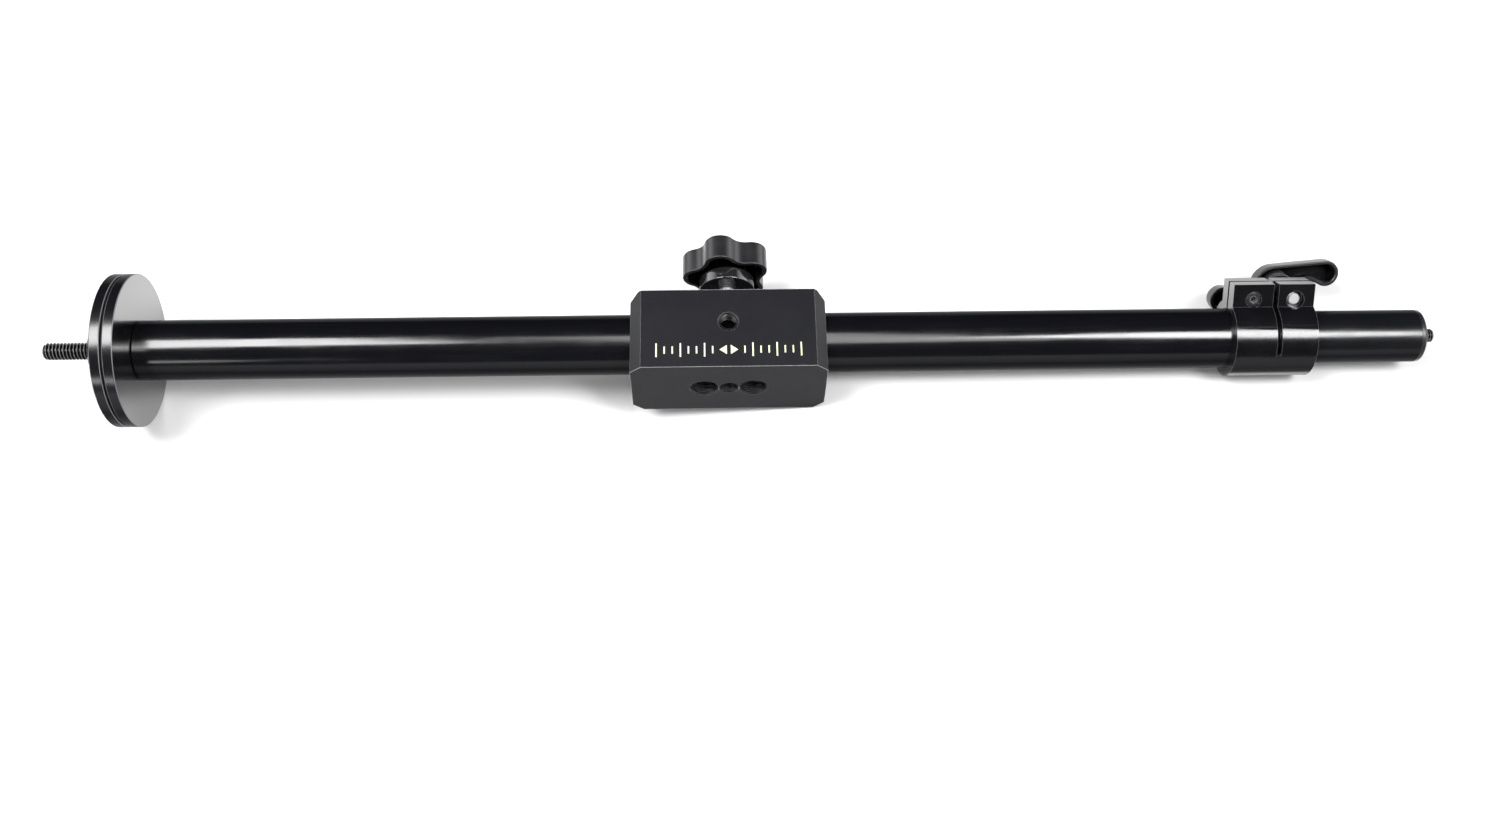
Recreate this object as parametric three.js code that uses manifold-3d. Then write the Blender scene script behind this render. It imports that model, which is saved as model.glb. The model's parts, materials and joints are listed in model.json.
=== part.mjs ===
// A telescoping camera rail: a round outer tube slides and turns through a carriage block,
// an inner tube slides in and out of the outer one, a split collar with a wing lever locks the
// two tubes together, and a pair of round plates with a threaded stud closes the left end.
//
// Millimetres. +X runs along the tubes towards the inner tube's free end, +Y points from the
// tube axis to the lock knob, +Z is the normal of the carriage's accessory face. Every piece is
// modelled about the centre of the carriage's bore, and the whole is then shifted so that the
// origin is the centre of the object's own box.
import * as THREE from "three";
import { mergeVertices } from "three/addons/utils/BufferGeometryUtils.js";
import Module from "manifold-3d";

const wasm = await Module();
wasm.setup();

// ---- Driving dimensions ----

// How many facets a full turn gets.
const FINE = 56;
const ROUND = 40;
const SMALL = 20;
const ARC = 7;

// The gap left between two pieces that touch, and the overlap of two shapes that are joined.
const FIT_GAP = 0.05;
const JOIN = 0.5;

// Tubes.
const TUBE_RADIUS = 11.1;
const TUBE_WALL = 1.1;
const TUBE_LEFT = -216;
const TUBE_RIGHT = 201;
const TUBE_EDGE = 0.6;
const INNER_RADIUS = 9.75;
const INNER_WALL = 1.5;
const INNER_LEFT = -171.5;
const INNER_RIGHT = 257.2;
const TAIL_RADIUS = 8.9;
const TAIL_LENGTH = 13.7;
const TAIL_RING_LENGTH = 1;
const TAIL_RING_RADIUS = 9.6;
const TAIL_BUSH_RADIUS = 9.9;
const TAIL_BUSH_BORE = 9.05;

// End cap and the screw that sticks out of it.
const CAP_FLANGE = 2;
const CAP_EDGE = 0.8;
const CAP_SPIGOT_RADIUS = 8.2;
const CAP_SPIGOT = 12;
const END_SCREW_RADIUS = 2.5;
const END_SCREW_PROUD = 5.7;
const END_SCREW_EDGE = 0.4;
const END_SCREW_SUNK = 11;

// Round plates, stud and locking nut at the left end.
const PLATE_RADIUS = 28.2;
const PLATE_THICKNESS = 3.7;
const PLATE_EDGE = 0.35;
const GROOVE_WIDTH = 0.8;
const GROOVE_DEPTH = 1.3;
const PLATE_CLEARANCE = 0.1;
const PLATE_BORE = 3.4;
const STUD_RADIUS = 3.175;
const STUD_LEFT = -251.1;
const STUD_RIGHT = -199;
const STUD_EDGE = 0.6;
const PLUG_RADIUS = 9.95;
const PLUG_RIGHT = -198;
const PLUG_BORE = 3.3;
const PLATE_SCREW_OFFSET = 6.5;
const PLATE_SCREW_RADIUS = 1.45;
const PLATE_SCREW_HEAD_RADIUS = 2.9;
const PLATE_SCREW_HEAD = 1.6;
const PLATE_SCREW_LENGTH = 13.6;
const SCREW_HOLE_RADIUS = 1.6;
const NUT_RADIUS = 8.8;
const NUT_LEFT = -233;
const NUT_EDGE = 0.6;
const NUT_BORE = 3.3;
const NUT_WASHER_RADIUS = 7.5;
const NUT_WASHER_THICKNESS = 0.8;

// Carriage block. The bore sits nearer the knob side, so the tripod holes get the deeper wall.
const BLOCK_HALF_LENGTH = 35.75;
const BLOCK_HALF_DEPTH = 16.65;
const BLOCK_KNOB_SIDE = 13.45;
const BLOCK_TRIPOD_SIDE = 18.5;
const BLOCK_CHAMFER = 4;
const BLOCK_KNOB_CHAMFER = 2.9;
const BORE_RADIUS = 11.35;
const LINER_SEAT_RADIUS = 11.9;
const LINER_SEAT_INNER = 12;
const LINER_LIP = 0.75;
const LINER_RADIUS = 11.8;
const LINER_BORE = 11.2;
const LINER_END_PLAY = 0.1;
const QUARTER_INCH_HOLE = { radius: 2.6, mouth: 3.4 };
const THREE_EIGHTHS_HOLE = { radius: 3.97, mouth: 4.9 };
const MOUTH_DEPTH = 0.75;
const ACCESSORY_HOLE_DEPTH = 4.7;
const TRIPOD_HOLE_DEPTH = 6.5;
const TRIPOD_HOLE_SPACING = 9;
const KNOB_HOLE_RADIUS = 3.4;

// Lock knob on the carriage, all along +Y from the tube axis.
const BUSHING_RADIUS = 7;
const BUSHING_TOP = 18;
const PAD_RADIUS = 3;
const PAD_BOTTOM = 11.6;
const PAD_TOP = 13.2;
const LOCK_STUD_BOTTOM = 13.3;
const LOCK_STUD_TOP = 33;
const KNOB_WASHER_RADIUS = 10.4;
const KNOB_WASHER_BOTTOM = 22.5;
const KNOB_WASHER_TOP = 27.2;
const KNOB_HUB_RADIUS = 7.2;
const KNOB_HUB_BOTTOM = 27.25;
const KNOB_BOTTOM = 27.8;
const KNOB_TOP = 37.8;
const KNOB_LOBES = 5;
const KNOB_TIP_RADIUS = 16.7;
const KNOB_VALLEY_RADIUS = 12.8;
const KNOB_LOBE_ROUND = 6;
const KNOB_WALL = 1.6;
const KNOB_ROOF = 2.4;
const KNOB_LOBE_ANGLE = -13;
const KNOB_BORE = 3.25;

// Split clamp collar, modelled with its ears along +Y and then turned about the tube axis.
const CLAMP_ANGLE = 43.8;
const CLAMP_LEFT = 186.3;
const CLAMP_RIGHT = 216.5;
const CLAMP_RADIUS = 14.26;
const CLAMP_BORE = 11.25;
const EAR_TOP = 21.6;
const EAR_HALF = 5.7;
const EAR_SLIT = 1.4;
const SLOT_CENTRE = 202.2;
const SLOT_WIDTH = 1.8;
const SLOT_SWEEP = 104;
const SLEEVE_RADIUS = 11.15;
const SLEEVE_BORE = 9.9;
const FIXING_SCREW = { x: 194, radial: 15.9, shank: 1.5, head: 2.7, headLength: 2.65 };
const FIXING_HOLE = { radius: 1.7, mouth: 2.9, mouthDepth: 3 };
const FIXING_SOCKET_RADIUS = 1.4;
const FIXING_SOCKET_DEPTH = 1.6;
const FIXING_SCREW_SHORT = 0.5;
const HEXAGON = 6;
const LEVER_AXIS = { x: 209.5, radial: 15.7 };
const LEVER_HOLE = { radius: 2.55, mouth: 3.3, mouthDepth: 2.6 };
const LEVER_STUD_RADIUS = 2.3;
const LEVER_STUD_FRONT = 4.2;
const LEVER_STUD_BACK = -20;

// Wing lever: two wings half a turn apart, hollow on the side that faces the ears.
const LEVER_WASHER = { radius: 3.6, bore: 2.6, front: -6, back: -7 };
const LEVER_SPOT_FACE_RADIUS = 3.9;
const LEVER_NOSE_RADIUS = 3.5;
const LEVER_NOSE_FRONT = -7.3;
const LEVER_NECK_RADIUS = 6;
const LEVER_NECK_FRONT = -10.9;
const LEVER_FRONT = -16;
const LEVER_BACK = -22;
const LEVER_HUB_RADIUS = 8.1;
const LEVER_TIP_RADIUS = 4.9;
const LEVER_TIP_X = 19.4;
const LEVER_TIP_Y = 4.9;
const LEVER_FILLET = 6;
const LEVER_WALL = 1.3;
const LEVER_BORE = 2.4;

const MARGIN = 5;

// ---- Materials ----

function finish(colour, roughness, metalness) {
  return new THREE.MeshStandardMaterial({ color: colour, roughness, metalness });
}
const blackAnodised = () => finish(0x101216, 0.28, 0.6);
const satinBlack = () => finish(0x1b1c21, 0.5, 0.5);
const blackPlastic = () => finish(0x17181b, 0.45, 0);
const blackSteel = () => finish(0x0c0d0e, 0.35, 0.9);
const brightSteel = () => finish(0xc9cacc, 0.25, 1);
const blackRubber = () => finish(0x08080a, 0.85, 0);
const whiteNylon = () => finish(0xe4e2da, 0.55, 0);

// ---- Shape helpers ----

// A closed geometry as a manifold-3d solid whose faces point out.
function solid(geometry) {
  const bare = geometry.clone();
  bare.deleteAttribute("normal");
  bare.deleteAttribute("uv");
  const merged = mergeVertices(bare, 1e-4);
  const index = merged.index.array;
  const kept = [];
  for (let i = 0; i < index.length; i += 3) {
    const [a, b, c] = [index[i], index[i + 1], index[i + 2]];
    if (a !== b && b !== c && c !== a) kept.push(a, b, c);
  }
  const vertProperties = new Float32Array(merged.attributes.position.array);
  const build = (corners) =>
    new wasm.Manifold(
      new wasm.Mesh({ numProp: 3, vertProperties, triVerts: new Uint32Array(corners) }),
    );
  const made = build(kept);
  return made.volume() < 0 ? build(kept.reverse()) : made;
}

// A solid back as a three.js geometry, with flat shading between facets.
function geometryOf(made) {
  const { vertProperties, triVerts } = made.getMesh();
  const geometry = new THREE.BufferGeometry();
  geometry.setAttribute("position", new THREE.BufferAttribute(vertProperties, 3));
  geometry.setIndex(new THREE.BufferAttribute(triVerts, 1));
  const flat = geometry.toNonIndexed();
  flat.computeVertexNormals();
  return flat;
}

function part(name, made, material) {
  const mesh = new THREE.Mesh(geometryOf(made), material);
  mesh.name = name;
  return mesh;
}

// A closed profile of [x, radius] points turned about the X axis.
function turned(profile, facets = ROUND) {
  const points = [...profile, profile[0]].map(([x, radius]) => new THREE.Vector2(radius, x));
  return solid(new THREE.LatheGeometry(points, facets).rotateZ(-Math.PI / 2));
}

// A ring or, with no bore, a rod along X, with its outer edges bevelled.
function ringX(left, right, radius, bore = 0, edge = 0, facets = ROUND) {
  return turned(
    [
      [left, bore],
      [left, radius - edge],
      [left + edge, radius],
      [right - edge, radius],
      [right, radius - edge],
      [right, bore],
    ],
    facets,
  );
}

// A rod along Z between two heights, centred on (x, y).
function rodZ(x, y, low, high, radius, facets = SMALL, topRadius = radius) {
  const geometry = new THREE.CylinderGeometry(topRadius, radius, high - low, facets);
  geometry.rotateX(Math.PI / 2).translate(x, y, (low + high) / 2);
  return solid(geometry);
}

function box(xLow, xHigh, yLow, yHigh, zLow, zHigh) {
  const geometry = new THREE.BoxGeometry(xHigh - xLow, yHigh - yLow, zHigh - zLow);
  geometry.translate((xLow + xHigh) / 2, (yLow + yHigh) / 2, (zLow + zHigh) / 2);
  return solid(geometry);
}

// A shape in the XY plane raised from one height to another.
function raised(shape, low, high) {
  const settings = { depth: high - low, bevelEnabled: false, curveSegments: ARC };
  return solid(new THREE.ExtrudeGeometry(shape, settings).translate(0, 0, low));
}

function polygon(points) {
  return new THREE.Shape(points.map(([x, y]) => new THREE.Vector2(x, y)));
}

// A blind hole along -Z with a coned mouth: its axis at (x, y), its mouth at height top.
function tappedHole(x, y, top, depth, { radius, mouth }) {
  const hole = rodZ(x, y, top - depth, top + MARGIN, radius);
  // The cone goes on past the surface by its own depth.
  const above = mouth + (mouth - radius);
  const rise = MOUTH_DEPTH;
  return hole.add(rodZ(x, y, top - MOUTH_DEPTH, top + rise, radius, SMALL, above));
}

// ---- Left end: plates, plug, stud, nut ----

const innerPlateLeft = TUBE_LEFT - PLATE_THICKNESS;
const grooveLeft = innerPlateLeft - GROOVE_WIDTH;
const outerPlateRight = grooveLeft - PLATE_CLEARANCE;
const outerPlateLeft = outerPlateRight - PLATE_THICKNESS;
const nutWasherRight = outerPlateLeft - PLATE_CLEARANCE;
const nutWasherLeft = nutWasherRight - NUT_WASHER_THICKNESS;
const nutRight = nutWasherLeft - PLATE_CLEARANCE;

// A rod along X standing off the tube axis in Y.
function rodX(left, right, y, radius, leftRadius = radius) {
  const geometry = new THREE.CylinderGeometry(radius, leftRadius, right - left, SMALL);
  geometry.rotateZ(-Math.PI / 2).translate((left + right) / 2, y, 0);
  return solid(geometry);
}

function plateScrew(y) {
  const face = innerPlateLeft + 2 * FIT_GAP;
  const headEnd = innerPlateLeft + PLATE_SCREW_HEAD;
  const shank = rodX(face, innerPlateLeft + PLATE_SCREW_LENGTH, y, PLATE_SCREW_RADIUS);
  return shank.add(rodX(face, headEnd, y, PLATE_SCREW_RADIUS, PLATE_SCREW_HEAD_RADIUS));
}

function plateScrewHole(y) {
  const shank = rodX(
    innerPlateLeft - MARGIN,
    innerPlateLeft + PLATE_SCREW_LENGTH + JOIN,
    y,
    SCREW_HOLE_RADIUS,
  );
  const seat = rodX(
    innerPlateLeft,
    innerPlateLeft + PLATE_SCREW_HEAD + 2 * FIT_GAP,
    y,
    SCREW_HOLE_RADIUS,
    PLATE_SCREW_HEAD_RADIUS + 4 * FIT_GAP,
  );
  return shank.add(seat);
}

const screwSides = [PLATE_SCREW_OFFSET, -PLATE_SCREW_OFFSET];

function innerPlate() {
  const plate = ringX(innerPlateLeft, TUBE_LEFT, PLATE_RADIUS, PLATE_BORE, PLATE_EDGE, FINE);
  return screwSides.reduce((made, y) => made.subtract(plateScrewHole(y)), plate);
}

function tubePlug() {
  const plug = ringX(TUBE_LEFT + FIT_GAP, PLUG_RIGHT, PLUG_RADIUS, PLUG_BORE);
  return screwSides.reduce((made, y) => made.subtract(plateScrewHole(y)), plug);
}

function leftEnd() {
  const group = new THREE.Group();
  group.add(part("inner_plate", innerPlate(), blackAnodised()));
  group.add(part("tube_plug", tubePlug(), finish(0xb5b8bc, 0.4, 1)));
  group.add(part("plate_screw_front", plateScrew(-PLATE_SCREW_OFFSET), brightSteel()));
  group.add(part("plate_screw_back", plateScrew(PLATE_SCREW_OFFSET), brightSteel()));
  const grooveRadius = PLATE_RADIUS - GROOVE_DEPTH;
  const washer = ringX(grooveLeft, innerPlateLeft, grooveRadius, PLATE_BORE);
  group.add(part("friction_washer", washer, blackRubber()));
  const outer = ringX(outerPlateLeft, outerPlateRight, PLATE_RADIUS, PLATE_BORE, PLATE_EDGE, FINE);
  group.add(part("swivel_plate", outer, blackAnodised()));
  const stud = ringX(STUD_LEFT, STUD_RIGHT, STUD_RADIUS, 0, STUD_EDGE, SMALL);
  group.add(part("mounting_stud", stud, blackSteel()));
  const thrust = ringX(nutWasherLeft, nutWasherRight, NUT_WASHER_RADIUS, NUT_BORE, 0, SMALL);
  group.add(part("nut_washer", thrust, brightSteel()));
  const nut = ringX(NUT_LEFT, nutRight, NUT_RADIUS, NUT_BORE, NUT_EDGE);
  group.add(part("knurled_nut", nut, blackAnodised()));
  return group;
}

// ---- Tubes ----

function outerTube() {
  const bore = TUBE_RADIUS - TUBE_WALL;
  return turned([
    [TUBE_LEFT, bore],
    [TUBE_LEFT, TUBE_RADIUS - TUBE_EDGE],
    [TUBE_LEFT + TUBE_EDGE, TUBE_RADIUS],
    [TUBE_RIGHT, TUBE_RADIUS],
    [TUBE_RIGHT, bore],
  ]);
}

function innerTube() {
  const bore = INNER_RADIUS - INNER_WALL;
  const shoulder = INNER_LEFT + TAIL_LENGTH;
  return turned([
    [INNER_LEFT, bore],
    [INNER_LEFT, TAIL_RADIUS],
    [shoulder, TAIL_RADIUS],
    [shoulder, INNER_RADIUS],
    [INNER_RIGHT, INNER_RADIUS],
    [INNER_RIGHT, bore],
  ]);
}

function endCap() {
  const face = INNER_RIGHT + CAP_FLANGE;
  const bore = END_SCREW_RADIUS + 2 * FIT_GAP;
  return turned([
    [INNER_RIGHT - CAP_SPIGOT, bore],
    [INNER_RIGHT - CAP_SPIGOT, CAP_SPIGOT_RADIUS],
    [INNER_RIGHT, CAP_SPIGOT_RADIUS],
    [INNER_RIGHT, INNER_RADIUS],
    [face - CAP_EDGE, INNER_RADIUS],
    [face, INNER_RADIUS - CAP_EDGE],
    [face, bore],
  ]);
}

function tubes() {
  const group = new THREE.Group();
  group.add(part("outer_tube", outerTube(), blackAnodised()));
  group.add(part("inner_tube", innerTube(), blackAnodised()));
  group.add(part("end_cap", endCap(), satinBlack()));
  const face = INNER_RIGHT + CAP_FLANGE;
  const screw = ringX(
    face - END_SCREW_SUNK,
    face + END_SCREW_PROUD,
    END_SCREW_RADIUS,
    0,
    END_SCREW_EDGE,
    SMALL,
  );
  group.add(part("end_screw", screw, blackSteel()));
  const ringRight = INNER_LEFT + TAIL_RING_LENGTH;
  const ring = ringX(INNER_LEFT, ringRight, TAIL_RING_RADIUS, TAIL_RADIUS + FIT_GAP);
  group.add(part("tail_retaining_ring", ring, brightSteel()));
  const bushLeft = ringRight + 2 * FIT_GAP;
  const bushRight = INNER_LEFT + TAIL_LENGTH - 2 * FIT_GAP;
  const bush = ringX(bushLeft, bushRight, TAIL_BUSH_RADIUS, TAIL_BUSH_BORE);
  group.add(part("tail_bush", bush, whiteNylon()));
  return group;
}

// ---- Carriage ----

// The block's outline from the side, chamfered at both ends of the +Z and -Z faces.
function blockSide() {
  const [length, depth, cut] = [BLOCK_HALF_LENGTH, BLOCK_HALF_DEPTH, BLOCK_CHAMFER];
  const outline = polygon([
    [-length, -depth + cut],
    [-length + cut, -depth],
    [length - cut, -depth],
    [length, -depth + cut],
    [length, depth - cut],
    [length - cut, depth],
    [-length + cut, depth],
    [-length, depth - cut],
  ]);
  const geometry = new THREE.ExtrudeGeometry(outline, {
    depth: BLOCK_KNOB_SIDE + BLOCK_TRIPOD_SIDE,
    bevelEnabled: false,
  });
  return solid(geometry.rotateX(Math.PI / 2).translate(0, BLOCK_KNOB_SIDE, 0));
}

// The block's outline from above, chamfered at both ends of the knob face only.
function blockTop() {
  const [length, cut] = [BLOCK_HALF_LENGTH, BLOCK_KNOB_CHAMFER];
  const outline = polygon([
    [-length, -BLOCK_TRIPOD_SIDE],
    [length, -BLOCK_TRIPOD_SIDE],
    [length, BLOCK_KNOB_SIDE - cut],
    [length - cut, BLOCK_KNOB_SIDE],
    [-length + cut, BLOCK_KNOB_SIDE],
    [-length, BLOCK_KNOB_SIDE - cut],
  ]);
  return raised(outline, -BLOCK_HALF_DEPTH, BLOCK_HALF_DEPTH);
}

// The stepped bore, with a wider seat for a liner near each end.
function blockBore() {
  const seatOuter = BLOCK_HALF_LENGTH - LINER_LIP;
  const bore = ringX(-BLOCK_HALF_LENGTH - MARGIN, BLOCK_HALF_LENGTH + MARGIN, BORE_RADIUS);
  return bore
    .add(ringX(LINER_SEAT_INNER, seatOuter, LINER_SEAT_RADIUS))
    .add(ringX(-seatOuter, -LINER_SEAT_INNER, LINER_SEAT_RADIUS));
}

// A hole modelled along -Z, turned so that its mouth opens on the tripod face (-Y).
function towardsTripod(made) {
  return made.rotate([90, 0, 0]);
}

function carriageBlock() {
  const tripodHole = (x, size) =>
    towardsTripod(tappedHole(x, 0, BLOCK_TRIPOD_SIDE, TRIPOD_HOLE_DEPTH, size));
  const knobHole = rodZ(0, 0, 0, BLOCK_KNOB_SIDE + MARGIN, KNOB_HOLE_RADIUS).rotate([-90, 0, 0]);
  return blockSide()
    .intersect(blockTop())
    .subtract(blockBore())
    .subtract(tappedHole(0, 0, BLOCK_HALF_DEPTH, ACCESSORY_HOLE_DEPTH, QUARTER_INCH_HOLE))
    .subtract(tripodHole(-TRIPOD_HOLE_SPACING, THREE_EIGHTHS_HOLE))
    .subtract(tripodHole(0, QUARTER_INCH_HOLE))
    .subtract(tripodHole(TRIPOD_HOLE_SPACING, THREE_EIGHTHS_HOLE))
    .subtract(knobHole);
}

function liner(side) {
  const near = LINER_SEAT_INNER + LINER_END_PLAY;
  const far = BLOCK_HALF_LENGTH - LINER_LIP - LINER_END_PLAY;
  const [left, right] = side > 0 ? [near, far] : [-far, -near];
  return ringX(left, right, LINER_RADIUS, LINER_BORE);
}

function carriage() {
  const group = new THREE.Group();
  group.add(part("carriage_block", carriageBlock(), satinBlack()));
  group.add(part("liner_left", liner(-1), whiteNylon()));
  group.add(part("liner_right", liner(1), whiteNylon()));
  return group;
}

// ---- Lock knob, modelled along +Z and turned so that +Z becomes +Y ----

// A star outline: round lobes joined by round valleys that meet them without a corner.
function star(inset) {
  const shape = new THREE.Shape();
  const step = (2 * Math.PI) / KNOB_LOBES;
  const lobe = KNOB_LOBE_ROUND - inset;
  const reach = KNOB_TIP_RADIUS - KNOB_LOBE_ROUND;
  const valleyEdge = KNOB_VALLEY_RADIUS - inset;
  const cosine = Math.cos(step / 2);
  const valley =
    (reach ** 2 + valleyEdge ** 2 - 2 * reach * valleyEdge * cosine - lobe ** 2) /
    (2 * (lobe + reach * cosine - valleyEdge));
  const valleyReach = valleyEdge + valley;
  const turn = THREE.MathUtils.degToRad(KNOB_LOBE_ANGLE - 90);
  const valleyX = valleyReach * cosine;
  const valleyY = valleyReach * Math.sin(step / 2);
  const meet = Math.atan2(valleyY, valleyX - reach);
  for (let i = 0; i < KNOB_LOBES; i++) {
    const tip = turn + i * step;
    const gap = tip + step / 2;
    const back = tip + meet + Math.PI;
    shape.absarc(
      reach * Math.cos(tip),
      reach * Math.sin(tip),
      lobe,
      tip - meet,
      tip + meet,
      false,
    );
    shape.absarc(
      valleyReach * Math.cos(gap),
      valleyReach * Math.sin(gap),
      valley,
      back,
      2 * gap - back,
      true,
    );
  }
  return shape;
}

function lockKnob() {
  const shell = raised(star(0), KNOB_BOTTOM, KNOB_TOP);
  const hollow = raised(star(KNOB_WALL), KNOB_BOTTOM - MARGIN, KNOB_TOP - KNOB_ROOF);
  const hub = rodZ(0, 0, KNOB_HUB_BOTTOM, KNOB_TOP - JOIN, KNOB_HUB_RADIUS, ROUND);
  const bore = rodZ(0, 0, KNOB_HUB_BOTTOM - MARGIN, LOCK_STUD_TOP + FIT_GAP, KNOB_BORE);
  return shell.subtract(hollow).add(hub).subtract(bore);
}

function lockAssembly() {
  const group = new THREE.Group();
  group.rotation.x = -Math.PI / 2;
  const bushing = rodZ(0, 0, BLOCK_KNOB_SIDE + FIT_GAP, BUSHING_TOP, BUSHING_RADIUS).subtract(
    rodZ(0, 0, 0, BUSHING_TOP + MARGIN, KNOB_HOLE_RADIUS),
  );
  group.add(part("lock_bushing", bushing, satinBlack()));
  group.add(part("brake_pad", rodZ(0, 0, PAD_BOTTOM, PAD_TOP, PAD_RADIUS), whiteNylon()));
  const stud = rodZ(0, 0, LOCK_STUD_BOTTOM, LOCK_STUD_TOP, STUD_RADIUS);
  group.add(part("lock_stud", stud, brightSteel()));
  const washer = rodZ(
    0,
    0,
    KNOB_WASHER_BOTTOM,
    KNOB_WASHER_TOP,
    KNOB_WASHER_RADIUS,
    ROUND,
  ).subtract(rodZ(0, 0, 0, KNOB_WASHER_TOP + MARGIN, KNOB_BORE));
  group.add(part("knob_washer", washer, blackSteel()));
  group.add(part("lock_knob", lockKnob(), blackPlastic()));
  return group;
}

// ---- Clamp collar and wing lever, modelled with the ears along +Y, then turned ----

function clampCollar() {
  const clear = CLAMP_RADIUS + MARGIN;
  const slotLow = CLAMP_RADIUS * Math.cos(THREE.MathUtils.degToRad(SLOT_SWEEP));
  const half = EAR_SLIT / 2;
  const screwHole = (at, hole) =>
    rodZ(at.x, at.radial, -clear, clear, hole.radius).add(
      rodZ(at.x, at.radial, EAR_HALF - hole.mouthDepth, clear, hole.mouth),
    );
  return ringX(CLAMP_LEFT, CLAMP_RIGHT, CLAMP_RADIUS)
    .add(box(CLAMP_LEFT, CLAMP_RIGHT, 0, EAR_TOP, -EAR_HALF, EAR_HALF))
    .subtract(ringX(CLAMP_LEFT - MARGIN, CLAMP_RIGHT + MARGIN, CLAMP_BORE))
    .subtract(box(CLAMP_LEFT - MARGIN, CLAMP_RIGHT + MARGIN, 0, EAR_TOP + MARGIN, -half, half))
    .subtract(
      box(
        SLOT_CENTRE - SLOT_WIDTH / 2,
        SLOT_CENTRE + SLOT_WIDTH / 2,
        slotLow,
        EAR_TOP + MARGIN,
        -clear,
        clear,
      ),
    )
    .subtract(screwHole(FIXING_SCREW, FIXING_HOLE))
    .subtract(screwHole(LEVER_AXIS, LEVER_HOLE))
    .subtract(rodZ(LEVER_AXIS.x, LEVER_AXIS.radial, -clear, -EAR_HALF, LEVER_SPOT_FACE_RADIUS));
}

function fixingScrew() {
  const { x, radial, shank, head, headLength } = FIXING_SCREW;
  const seat = EAR_HALF - FIXING_HOLE.mouthDepth + FIT_GAP;
  const top = seat + headLength;
  const socketFloor = top - FIXING_SOCKET_DEPTH;
  return rodZ(x, radial, -EAR_HALF + FIXING_SCREW_SHORT, seat + JOIN, shank)
    .add(rodZ(x, radial, seat, top, head))
    .subtract(rodZ(x, radial, socketFloor, top + JOIN, FIXING_SOCKET_RADIUS, HEXAGON));
}

function reducerSleeve() {
  const left = SLOT_CENTRE + SLOT_WIDTH / 2 + 2 * FIT_GAP;
  const right = CLAMP_RIGHT - 2 * FIT_GAP;
  const half = EAR_SLIT / 2;
  const split = box(left - MARGIN, right + MARGIN, 0, SLEEVE_RADIUS + MARGIN, -half, half);
  return ringX(left, right, SLEEVE_RADIUS, SLEEVE_BORE).subtract(split);
}

// The outline of the wing lever, centred on its hub, drawn in by inset all round.
// Each wing is a tip circle joined to the hub circle by a straight edge on one side
// and by a hollow fillet on the other.
function leverOutline(inset) {
  const hub = LEVER_HUB_RADIUS - inset;
  const tip = LEVER_TIP_RADIUS - inset;
  const fillet = LEVER_FILLET + inset;
  const reach = Math.hypot(LEVER_TIP_X, LEVER_TIP_Y);
  const aim = Math.atan2(LEVER_TIP_Y, LEVER_TIP_X);
  const tangent = aim + Math.acos((hub - tip) / reach);
  const along = ((hub + fillet) ** 2 - (tip + fillet) ** 2 + reach ** 2) / (2 * reach);
  const down = aim - Math.acos(along / (hub + fillet));
  const filletX = (hub + fillet) * Math.cos(down);
  const filletY = (hub + fillet) * Math.sin(down);
  const toTip = Math.atan2(LEVER_TIP_Y - filletY, LEVER_TIP_X - filletX);
  const shape = new THREE.Shape();
  for (const turn of [0, Math.PI]) {
    const place = (x, y) => [
      x * Math.cos(turn) - y * Math.sin(turn),
      x * Math.sin(turn) + y * Math.cos(turn),
    ];
    const [fx, fy] = place(filletX, filletY);
    const [tx, ty] = place(LEVER_TIP_X, LEVER_TIP_Y);
    shape.absarc(fx, fy, fillet, down + Math.PI + turn, toTip + turn, true);
    shape.absarc(tx, ty, tip, toTip + Math.PI + turn, tangent + turn + 2 * Math.PI, false);
    shape.absarc(0, 0, hub, tangent + turn, down + Math.PI + turn + 2 * Math.PI, false);
  }
  return shape;
}

function wingLever() {
  const { x, radial } = LEVER_AXIS;
  const outside = raised(leverOutline(0), LEVER_BACK, LEVER_FRONT);
  const hollowFloor = LEVER_BACK + LEVER_WALL;
  const inside = raised(leverOutline(LEVER_WALL), hollowFloor, LEVER_FRONT + MARGIN);
  const neck = rodZ(0, 0, hollowFloor - JOIN, LEVER_NECK_FRONT, LEVER_NECK_RADIUS);
  const nose = rodZ(0, 0, LEVER_NECK_FRONT - JOIN, LEVER_NOSE_FRONT, LEVER_NOSE_RADIUS);
  const bore = rodZ(0, 0, LEVER_STUD_BACK - FIT_GAP, LEVER_NOSE_FRONT + MARGIN, LEVER_BORE);
  return outside
    .subtract(inside)
    .add(neck)
    .add(nose)
    .subtract(bore)
    .translate([x, radial, 0]);
}

function clampAssembly() {
  const group = new THREE.Group();
  group.rotation.x = THREE.MathUtils.degToRad(CLAMP_ANGLE);
  group.add(part("clamp_collar", clampCollar(), blackAnodised()));
  group.add(part("fixing_screw", fixingScrew(), blackSteel()));
  group.add(part("reducer_sleeve", reducerSleeve(), whiteNylon()));
  const { x, radial } = LEVER_AXIS;
  const { radius, bore, front, back } = LEVER_WASHER;
  const washer = rodZ(x, radial, back, front, radius).subtract(
    rodZ(x, radial, back - MARGIN, front + MARGIN, bore),
  );
  group.add(part("lever_washer", washer, brightSteel()));
  const stud = rodZ(x, radial, LEVER_STUD_BACK, LEVER_STUD_FRONT, LEVER_STUD_RADIUS);
  group.add(part("lever_stud", stud, brightSteel()));
  group.add(part("wing_lever", wingLever(), blackPlastic()));
  return group;
}

// The bore's centre as seen from the centre of the object's box: the stud and the end screw are
// its ends along X, the discs and the knob its ends along Y.
const boxCentreX = (STUD_LEFT + INNER_RIGHT + CAP_FLANGE + END_SCREW_PROUD) / 2;
const boxCentreY = (KNOB_TOP - PLATE_RADIUS) / 2;

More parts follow.
